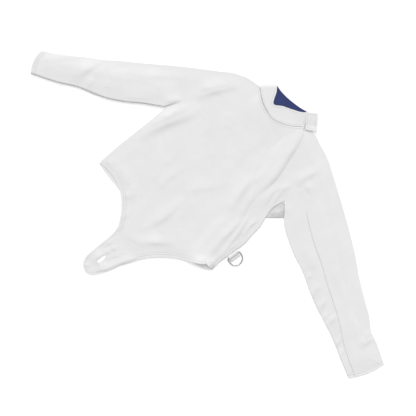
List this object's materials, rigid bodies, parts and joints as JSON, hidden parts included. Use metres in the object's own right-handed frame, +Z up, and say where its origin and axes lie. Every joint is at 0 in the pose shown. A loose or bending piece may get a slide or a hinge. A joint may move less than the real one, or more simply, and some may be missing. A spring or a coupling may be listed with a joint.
{
  "type": "fencing jacket",
  "caption": "White cotton fencing jacket laid flat, front up: stand collar, slanting left closure, set-in sleeves, crotch strap and a steel D-ring.",
  "frame": {"origin": "on the surface that the jacket lies on, under the middle of the back panel", "axes": "+X to the wearer's left, +Y from hem to collar, +Z up from the surface through the layers"},
  "size_m": [1.5057, 0.8967, 0.0096],
  "materials": {
    "cotton": "heavy plain cotton twill, white, matt",
    "webbing": "white woven tape",
    "lining": "dark blue plain lining, matt",
    "steel": "smooth plated steel wire"
  },
  "bodies": {
    "jacket": {"back_panel": "cotton", "left_front_panel": "cotton", "front_panel": "cotton", "underarm_gusset": "cotton", "sleeve_right_top": "cotton", "sleeve_right_under": "cotton", "sleeve_left_top": "cotton", "sleeve_left_under": "cotton", "collar_front": "cotton", "collar_back": "cotton", "collar_lining": "lining", "collar_tab": "cotton", "crotch_strap": "cotton", "ring_loop": "webbing"},
    "ring": {"d_ring": "steel"}
  },
  "joints": [
    {"name": "ring_swing", "type": "hinge", "parent": "jacket", "child": "ring", "pos_m": [0.252, -0.1225, 0.0037], "axis": [-0.1392, -0.9903, 0], "range_deg": [0, 130]}
  ]
}
